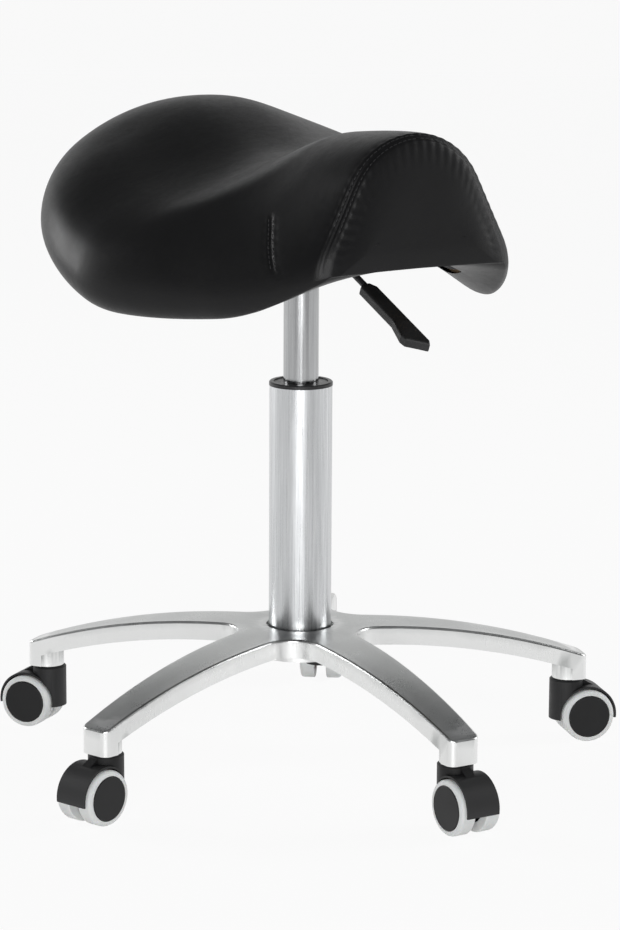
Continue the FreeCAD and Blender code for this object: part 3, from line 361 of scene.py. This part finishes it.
RIDGE = ((REAR, 506.8), (-150.0, 519.9), (0.0, 486.6), (THIGH, 512.3), (FRONT, 518.9))
RIM = ((REAR, 463.7), (-120.0, 427.2), (0.0, 396.1), (THIGH, 394.5), (FRONT, 418.2))
UNDERSIDE = ((REAR, 444.0), (0.0, 427.9), (FRONT, 418.6))
SIDE_RADIUS = ((REAR, 42.5), (0.0, 49.2), (FRONT, 43.9))
EDGE_RADIUS = ((REAR, 20.9), (0.0, 25.0), (FRONT, 3.0))
FLANK_SLOPE = ((REAR, 53.2), (0.0, 53.3), (FRONT, 24.6))
FRONT_WIDTH = ((WIDEST - 1, HALF_WIDTH), (WIDEST, HALF_WIDTH),
               (THIGH, THIGH_WIDTH), (FRONT, POMMEL_WIDTH))

# Limits of a section: shortest flank, smallest crown, the flank's turn per try, the edge's arc

LEAST_FLANK, LEAST_CROWN = 0.2, 2.0
SLOPE_STEP = 0.01
EDGE_TURN = math.radians(85)
LIP = 30.0
LIP_START, LIP_FADE = 14.0, 40.0

# Dish where one sits: its depth, and where it fades across and along the seat

DISH = 5.0
DISH_START, DISH_WIDTH = 0.08, 0.66
DISH_REAR, DISH_FRONT = (-190, -120), (40, 110)

# Seams: their places, and the grooves, dents, beads and puckers beside them

ARCH_SEAM = FRONT - 5.2
ARCH_NEAR, ARCH_FAR = (96, 122), (130, 150)
ARCH_NEAR_SHARE = 0.75
SIDE_SEAM = 105.8
SIDE_SEAM_REACH = 117.7
SIDE_SEAM_START, SIDE_SEAM_END = 114.0, 150.0
SIDE_SEAM_SLANT = 0.73
GROOVE_DEPTH, GROOVE_WIDTH = 0.95, 0.75
DENT_DEPTH, DENT_WIDTH = 0.45, 0.5
BEAD_HEIGHT, BEAD_OFFSET, BEAD_WIDTH = 0.35, 3.6, 1.4
PULL_DEPTH, PULL_WIDTH = 0.8, 6.0
PUCKER_HEIGHT, PUCKER_PITCH = 0.16, 8.4
PUCKER_OFFSET, PUCKER_WIDTH = 4.0, 2.6
PUCKER_DRIFT, PUCKER_DRIFT_LENGTH = 0.9, 17.0

# Stitches, and where each row starts and ends along its seam

STITCH_OFFSET, STITCH_LIFT = 1.9, 0.18
STITCH_LENGTH, STITCH_PITCH, STITCH_RADIUS = 3.0, 4.2, 0.36
ARCH_ROW, SIDE_ROW = (2.1, 104), (0.5, 60)

# Front panel: how it closes in on the pommel's foot, and how far it stands out

PANEL_RINGS = 16
PANEL_ROUNDS = 60
PANEL_SMOOTHING = 5
PANEL_FOOT_WIDTH, PANEL_FOOT_SHARE, PANEL_FOOT_LIFT = 0.55, 0.65, 34
PANEL_BULGE, PANEL_RISE = 2.6, 1.3

# How fine the mesh is

TOP_POINTS, EDGE_POINTS, LIP_POINTS = 130, 26, 14
STATION_STEP, SIDE_SEAM_STEP, ARCH_SEAM_STEP, LEAST_STEP = 3.0, 0.7, 0.55, 0.35
ROLL_STATIONS, FIRST_STATION_GAP = 22, 0.02
ARC_POINTS, EDGE_ARC_POINTS, LIP_LINE_POINTS = 60, 40, 80
FIRST_ROUNDS, LAST_ROUNDS = 8, 20


def smooth(curve, at):
    """A smooth curve through a few (place, value) points, with no overshoot between them."""
    x, y = np.array(curve, float).T
    gap = np.diff(x)
    rise = np.diff(y) / gap
    slope = np.zeros_like(y)
    for i in range(1, len(y) - 1):
        if rise[i - 1] * rise[i] > 0:
            a, b = 2 * gap[i] + gap[i - 1], gap[i] + 2 * gap[i - 1]
            slope[i] = (a + b) / (a / rise[i - 1] + b / rise[i])
    for end, near in ((0, 1), (-1, -2)):
        value = (2 * gap[end] + gap[near]) * rise[end] - gap[end] * rise[near]
        value = value / (gap[end] + gap[near])
        if value * rise[end] <= 0:
            value = 0.0
        elif rise[end] * rise[near] < 0 and abs(value) > 3 * abs(rise[end]):
            value = 3 * rise[end]
        slope[end] = value
    k = np.clip(np.searchsorted(x, at) - 1, 0, len(x) - 2)
    h = x[k + 1] - x[k]
    t = (at - x[k]) / h
    return ((1 + 2 * t) * (1 - t) ** 2 * y[k] + t * (1 - t) ** 2 * h * slope[k]
            + t * t * (3 - 2 * t) * y[k + 1] + t * t * (t - 1) * h * slope[k + 1])


def evenly(line, count):
    """Points at even distances along a polyline."""
    steps = np.linalg.norm(np.diff(line, axis=0), axis=1)
    along = np.concatenate([[0], np.cumsum(steps)])
    if along[-1] < 1e-6:
        return np.repeat(line[:1], count, axis=0)
    at = np.linspace(0, along[-1], count)
    return np.stack([np.interp(at, along, line[:, i]) for i in range(2)], 1)


def stations():
    """Places along the seat, close together at its ends and at the seams."""
    places = list(np.arange(REAR + REAR_ROLL, FRONT - FRONT_ROLL, STATION_STEP))
    turn = np.linspace(0, math.pi / 2, ROLL_STATIONS)
    places += list(REAR + REAR_ROLL * (1 - np.cos(turn)) + FIRST_STATION_GAP)
    places += list(np.arange(SIDE_SEAM - 10, SIDE_SEAM + 34, SIDE_SEAM_STEP))
    places += list(np.arange(ARCH_SEAM - 9, FRONT, ARCH_SEAM_STEP))
    places = np.unique(np.round(places, 3))
    kept = [places[0]]
    for place in places[1:]:
        if place - kept[-1] > LEAST_STEP:
            kept.append(place)
    kept[-1] = FRONT
    return np.array(kept)


def half_width(s):
    """The seat's half width: a rounded cantle, and a curve from the widest place forwards."""
    if s >= WIDEST:
        return smooth(FRONT_WIDTH, s)
    share = min((WIDEST - s) / (WIDEST - REAR), 1.0)
    return HALF_WIDTH * max(1 - share ** ROUNDNESS, 0.0) ** (1 / ROUNDNESS)


def rolled(distance, roll):
    """How high a quarter circle has come, as a share, at a distance from its start."""
    near = min(distance / roll, 1.0)
    return math.sqrt(max(1 - (1 - near) ** 2, 0.0))


def lip_share(distance):
    """How far the lip's opening has grown at a distance from the seat's end."""
    return min(max((distance - LIP_START) / LIP_FADE, 0.0), 1.0)


def arc(across, height, radius, start, end, count):
    turn = np.linspace(start, end, count)
    return np.stack([across + radius * np.cos(turn), height + radius * np.sin(turn)], 1)


def fit_flank(width, height, side, slope):
    """Turns the straight flank until it joins the side's arc to a crown; gives slope and crown."""
    while True:
        c, sn = math.cos(slope), math.sin(slope)
        reach = width - side * (1 - c)
        length = c / (1 - sn) * (height - side * sn) - reach
        crown = (reach - length * sn) / c
        if length < LEAST_FLANK:
            slope += SLOPE_STEP
        elif crown < LEAST_CROWN:
            slope -= SLOPE_STEP
        else:
            return slope, crown


def half_section(s):
    """One side of the seat's section: ridge to rim, round the flap's edge and in to the lip."""
    rim = smooth(RIM, s)
    swell = rolled(s - REAR, REAR_ROLL)
    drawn = FRONT_ROLL * (1 - rolled(FRONT - s, FRONT_ROLL))
    width = half_width(s) - drawn
    ridge = rim + (smooth(RIDGE, s) - rim) * swell - drawn
    under = rim + (smooth(UNDERSIDE, s) - rim) * swell
    height = ridge - rim
    side = max(smooth(SIDE_RADIUS, s) * swell - drawn, 1.0)
    side = min(side, 0.55 * width, 0.8 * height)
    edge = min(max(smooth(EDGE_RADIUS, s) * swell - 0.6 * drawn, 0.6), 0.5 * width)
    slope, crown = fit_flank(width, height, side, math.radians(smooth(FLANK_SLOPE, s)))
    over = arc(0, ridge - crown, crown, math.pi / 2, slope, ARC_POINTS)
    out = arc(width - side, rim, side, slope, 0, ARC_POINTS)
    round_edge = arc(width - edge, rim, edge, 0, -EDGE_TURN, EDGE_ARC_POINTS)
    inside, low = round_edge[-1]
    opened = max(inside - LIP, 0.0) / max(inside, 1e-6)
    opened = opened * min(lip_share(s - REAR), lip_share(FRONT - s))
    r = np.linspace(1, opened, LIP_LINE_POINTS)
    lip = np.stack([inside * r, low + (under - low) * (1 - r ** 2)], 1)
    return np.concatenate([evenly(np.concatenate([over, out]), TOP_POINTS),
                           evenly(round_edge, EDGE_POINTS)[1:],
                           evenly(lip, LIP_POINTS)[1:]])


def seat_grid(places):
    """Points of the leather as an array: station, place round the section, (x, y, z) in mm."""
    rows = []
    for s in places:
        half = half_section(s)
        other = half[1:][::-1] * (-1, 1)
        ring = np.concatenate([other, half])
        rows.append(np.stack([ring[:, 0], np.full(len(ring), -s), ring[:, 1]], 1))
    return np.array(rows)


def soften(grid, rounds):
    """Evens out where straight flanks meet the arcs, so that light runs over them smoothly."""
    for _ in range(rounds):
        inner = grid[:, 1:-1]
        grid[:, 1:-1] = inner * 0.5 + (grid[:, :-2] + grid[:, 2:]) * 0.25
    return grid


def distances(grid):
    """Distance along each section from the ridge, in mm; negative on one side."""
    middle = grid.shape[1] // 2
    steps = np.linalg.norm(np.diff(grid, axis=1), axis=2)
    along = np.concatenate([np.zeros((len(grid), 1)), np.cumsum(steps, axis=1)], axis=1)
    return along - along[:, middle:middle + 1]


def dish_relief(grid, places):
    """The flanks of the seat are a little hollow between the ridge and the rim."""
    middle = grid.shape[1] // 2
    share = np.abs(np.arange(grid.shape[1]) - middle) / TOP_POINTS
    across = np.sin(math.pi * np.clip((share - DISH_START) / DISH_WIDTH, 0, 1)) ** 2
    lengthwise = fade(places, *DISH_REAR) * (1 - fade(places, *DISH_FRONT))
    return -DISH * lengthwise[:, None] * across[None, :]


def grid_normals(grid):
    along = np.gradient(grid, axis=0)
    across = np.gradient(grid, axis=1)
    normal = np.cross(across, along)
    length = np.linalg.norm(normal, axis=2, keepdims=True)
    normal = normal / np.maximum(length, 1e-9)
    middle = grid.shape[1] // 2
    if normal[len(grid) // 2, middle, 2] < 0:
        normal = -normal
    return normal


def bell(value, width):
    return np.exp(-(value / width) ** 2)


def fade(value, low, high):
    t = np.clip((value - low) / (high - low), 0, 1)
    return t * t * (3 - 2 * t)


def seam_relief(grid, places):
    """How far the leather moves along its normal at the seams, in mm."""
    s = np.repeat(places[:, None], grid.shape[1], 1)
    along = distances(grid)
    far = np.abs(along)
    on_top = (1 - fade(far, *ARCH_NEAR)) * ARCH_NEAR_SHARE
    on_top += (1 - fade(far, *ARCH_FAR)) * (1 - ARCH_NEAR_SHARE)
    beside = s - side_seam_place(far)
    window = fade(far, SIDE_SEAM_START - 8, SIDE_SEAM_START + 2)
    window *= 1 - fade(far, SIDE_SEAM_END - 4, SIDE_SEAM_END + 6)
    drift = PUCKER_DRIFT * np.sin(along / PUCKER_DRIFT_LENGTH)
    pucker = PUCKER_HEIGHT * np.sin(along * 2 * math.pi / PUCKER_PITCH + drift)
    relief = np.zeros(s.shape)
    for place, part in ((s - ARCH_SEAM, on_top), (beside, window)):
        off = np.abs(place)
        across = -GROOVE_DEPTH * bell(place, GROOVE_WIDTH)
        across -= DENT_DEPTH * bell(off - STITCH_OFFSET, DENT_WIDTH)
        across += BEAD_HEIGHT * bell(off - BEAD_OFFSET, BEAD_WIDTH)
        across -= PULL_DEPTH * bell(place, PULL_WIDTH)
        across += pucker * bell(off - PUCKER_OFFSET, PUCKER_WIDTH)
        relief += across * part
    return relief


def side_seam_place(far):
    """Where the short side seam crosses a section, by the distance from the ridge."""
    return SIDE_SEAM + SIDE_SEAM_SLANT * (far - SIDE_SEAM_REACH)


def mesh_object(name, points, faces, material, shade=True):
    mesh = bpy.data.meshes.new(name)
    mesh.from_pydata([tuple(p) for p in points], [], [tuple(f) for f in faces])
    mesh.update()
    obj = bpy.data.objects.new(name, mesh)
    bpy.context.scene.collection.objects.link(obj)
    if shade:
        mesh.shade_smooth()
    dress(obj, material)
    return obj


def front_panel(points, faces, seam, plain):
    """Rings that close in from the front edge on a line across the pommel's foot."""
    around = len(seam)
    foot_height = seam[0, 2] * (1 - PANEL_FOOT_SHARE)
    foot_height += PANEL_FOOT_SHARE * (seam[:, 2].min() + PANEL_FOOT_LIFT)
    previous = list(range(len(points) - around, len(points)))
    for k in range(1, PANEL_RINGS + 1):
        t = k / PANEL_RINGS
        bulge = PANEL_BULGE * math.sin(min(t * PANEL_RISE, 1.0) * math.pi / 2)
        ring = []
        for j in range(around):
            p = seam[j] + (plain[j] - seam[j]) * min(t * PANEL_SMOOTHING, 1)
            foot = np.array([p[0] * PANEL_FOOT_WIDTH, p[1], foot_height])
            q = p * (1 - t) + foot * t
            q[1] = p[1] - bulge
            ring.append(len(points))
            points.append(q / 1000.0)
        for j in range(around - 1):
            faces.append((previous[j], ring[j], ring[j + 1], previous[j + 1]))
        previous = ring


def leather_cover(material):
    """The cover as one mesh, with the grid it was made from for the stitches."""
    places = stations()
    grid = soften(seat_grid(places), FIRST_ROUNDS)
    grid = grid + grid_normals(grid) * dish_relief(grid, places)[:, :, None]
    grid = soften(grid, LAST_ROUNDS)
    normal = grid_normals(grid)
    plain = grid[-1].copy()
    for _ in range(PANEL_ROUNDS):
        plain[1:-1] = (plain[:-2] + 2 * plain[1:-1] + plain[2:]) / 4
    grid = grid + normal * seam_relief(grid, places)[:, :, None]
    count, around = grid.shape[0], grid.shape[1]
    points = list(grid.reshape(-1, 3) / 1000.0)
    faces = []
    for i in range(count - 1):
        for j in range(around - 1):
            a = i * around + j
            faces.append((a, a + around, a + around + 1, a + 1))
    front_panel(points, faces, grid[-1], plain)
    obj = mesh_object("seat_leather", points, faces, material)
    obj.data.validate()
    return obj, grid, normal, places


def capsule(points, faces, start, end, radius, sides=6):
    """Adds a short rounded bar between two points."""
    start, end = np.array(start), np.array(end)
    way = end - start
    length = np.linalg.norm(way)
    way = way / length
    side = np.cross(way, (0.3, 0.5, 0.8))
    side = side / np.linalg.norm(side)
    other = np.cross(way, side)
    rings = ((0.0, 0.35), (0.12, 0.85), (0.3, 1.0), (0.7, 1.0), (0.88, 0.85), (1.0, 0.35))
    base = len(points)
    for share, size in rings:
        for k in range(sides):
            a = 2 * math.pi * k / sides
            points.append(start + way * length * share
                          + (side * math.cos(a) + other * math.sin(a)) * radius * size)
    for i in range(len(rings) - 1):
        for k in range(sides):
            a, b = base + i * sides + k, base + i * sides + (k + 1) % sides
            faces.append((a, b, b + sides, a + sides))
    faces.append(tuple(base + k for k in range(sides))[::-1])
    faces.append(tuple(base + (len(rings) - 1) * sides + k for k in range(sides)))


def stitch_row(points, faces, line, up, first, last):
    """Stitches at even distances along a line on the leather."""
    along = np.concatenate([[0], np.cumsum(np.linalg.norm(np.diff(line, axis=0), axis=1))])
    at = first
    while at + STITCH_LENGTH < min(last, along[-1]):
        ends = []
        for place in (at, at + STITCH_LENGTH):
            p = np.array([np.interp(place, along, line[:, i]) for i in range(3)])
            q = np.array([np.interp(place, along, up[:, i]) for i in range(3)])
            ends.append((p + q * STITCH_LIFT) / 1000.0)
        capsule(points, faces, ends[0], ends[1], STITCH_RADIUS / 1000.0)
        at += STITCH_PITCH


def stitch_rows(grid, normal, places, material):
    """Two rows of stitches beside each seam."""
    points, faces = [], []
    middle = grid.shape[1] // 2
    far = np.abs(distances(grid))
    for offset in (-STITCH_OFFSET, STITCH_OFFSET):
        row = int(np.argmin(np.abs(places - ARCH_SEAM - offset)))
        for side in (-1, 1):
            line, up = grid[row, middle::side], normal[row, middle::side]
            stitch_row(points, faces, line, up, *ARCH_ROW)
            line, up = [], []
            for j in range(1, TOP_POINTS + EDGE_POINTS):
                k = middle + side * j
                want = side_seam_place(far[:, k]) + offset / math.cos(math.atan(SIDE_SEAM_SLANT))
                i = int(np.argmin(np.abs(places - want)))
                if SIDE_SEAM_START - 2 < far[i, k] < SIDE_SEAM_END + 2:
                    line.append([np.interp(want[i], places, grid[:, k, a]) for a in range(3)])
                    up.append(normal[i, k])
            stitch_row(points, faces, np.array(line), np.array(up), *SIDE_ROW)
    return mesh_object("seat_stitches", points, faces, material)


# Stage and light. Places are in metres as seen from the camera: right, away, up.

WORLD_GREY = (0.17, 0.172, 0.175)
BACKDROP_WHITE = 0.93
BACKDROP_GREYS = (0.86, 0.86, 0.86), (0.88, 0.88, 0.88)
FLOOR_HALF = 16.0
BACK_WALL = ("back_wall", (0, 6.0, 0), 14.0, 4.0)
PANEL_DARK = (0.02, 0.02, 0.021)
DARK_PANELS = (
    ("dark_left", (-1.45, -2.3, 0.0), 0.7, 2.4),
    ("dark_right", (1.7, -2.1, 0.0), 0.9, 1.3),
)
LAMPS = (
    ("left_lamp", (-2.4, 1.1, 0.85), (0, 0, 0.35), (0.7, 1.2), 26),
    ("front_lamp", (-0.2, -3.1, 0.6), (0, 0, 0.3), (1.6, 0.9), 48),
    ("right_lamp", (2.5, 0.5, 1.1), (0, 0, 0.25), (0.8, 1.6), 26),
)


def white_where_seen(n, share):
    """The share of plain white that camera, glossy and transmission rays see."""
    path = n.add("ShaderNodeLightPath")
    seen = n.maths("MAXIMUM", path.outputs["Is Camera Ray"], path.outputs["Is Glossy Ray"])
    seen = n.maths("MAXIMUM", seen, path.outputs["Is Transmission Ray"])
    return n.maths("MULTIPLY", seen, share)


def add_world():
    world = bpy.data.worlds.new("studio")
    bpy.context.scene.world = world
    world.use_nodes = True
    base = world.node_tree.nodes["Background"]
    base.inputs["Color"].default_value = (*WORLD_GREY, 1)
    base.inputs["Strength"].default_value = 1.0


def backdrop_material():
    """A pale surface that stays white where nothing shades it."""
    n = Nodes("pale_backdrop")
    cloud = n.noise(n.coordinates(), 3.0)
    n.finish(n.colours(cloud, 0.3, 0.7, *BACKDROP_GREYS),
             n.ramp(cloud, 0.3, 0.7, 0.85, 0.9), n.bump(cloud, 0.02, 0.0005))
    glow = n.add("ShaderNodeEmission")
    glow.inputs["Color"].default_value = (1, 1, 1, 1)
    glow.inputs["Strength"].default_value = 1.0
    mix = n.add("ShaderNodeMixShader")
    n.link(white_where_seen(n, BACKDROP_WHITE), mix.inputs["Fac"])
    n.link(n.shader.outputs[0], mix.inputs[1])
    n.link(glow.outputs[0], mix.inputs[2])
    n.link(mix.outputs[0], n.tree.nodes["Material Output"].inputs["Surface"])
    return n.material


def panel_material(name, colour):
    n = Nodes(name)
    cloud = n.noise(n.coordinates(), 5.0)
    edge = tuple(c * 1.15 for c in colour)
    return n.finish(n.colours(cloud, 0.3, 0.7, colour, edge), n.ramp(cloud, 0.3, 0.7, 0.8, 0.9),
                    n.bump(cloud, 0.02, 0.0005))


def add_panel(name, place, width, height, material):
    """An upright panel facing the stool, placed as seen from the camera: right, away, foot."""
    right, away, foot = place
    centre = turned(right, away, foot)
    facing = Vector((-centre.x, -centre.y, 0)).normalized()
    side = Vector((-facing.y, facing.x, 0)) * (width / 2)
    up = Vector((0, 0, height))
    points = [centre - side, centre + side, centre + side + up, centre - side + up]
    panel = mesh_object(name, points, [(0, 1, 2, 3)], material, shade=False)


def add_stage():
    """White floor, a white wall far behind and dark panels beside the camera."""
    size = FLOOR_HALF
    points = [(-size, -size, 0), (size, -size, 0), (size, size, 0), (-size, size, 0)]
    white = backdrop_material()
    floor = mesh_object("floor", points, [(0, 1, 2, 3)], white, shade=False)
    add_panel(*BACK_WALL, white)
    dark = panel_material("dark_panel", PANEL_DARK)
    for panel in DARK_PANELS:
        add_panel(*panel, dark)


def add_lamp(name, place, aim, size, power):
    """An area lamp placed as seen from the camera: right, away, up."""
    lamp = bpy.data.lights.new(name, "AREA")
    lamp.shape = "RECTANGLE"
    lamp.size, lamp.size_y = size
    lamp.energy = power
    obj = bpy.data.objects.new(name, lamp)
    bpy.context.scene.collection.objects.link(obj)
    at = turned(*place)
    obj.location = at
    obj.rotation_euler = (Vector(aim) - at).to_track_quat("-Z", "Y").to_euler()


def add_lamps():
    for lamp in LAMPS:
        add_lamp(*lamp)


def build():
    materials = build_materials()
    for part in frame["record"]["subparts"]:
        dress(frame["nodes"][part["node"]], materials[part["material_slot"]])
    leather, grid, normal, places = leather_cover(materials["cover_leather"])
    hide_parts("seat_cover", "seat_foam")
    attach(leather, "seat")
    stitches = stitch_rows(grid, normal, places, thread())
    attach(stitches, "seat")
    add_world()
    add_stage()
    add_lamps()
    add_camera()
    bpy.context.scene.view_settings.view_transform = "Standard"


build()
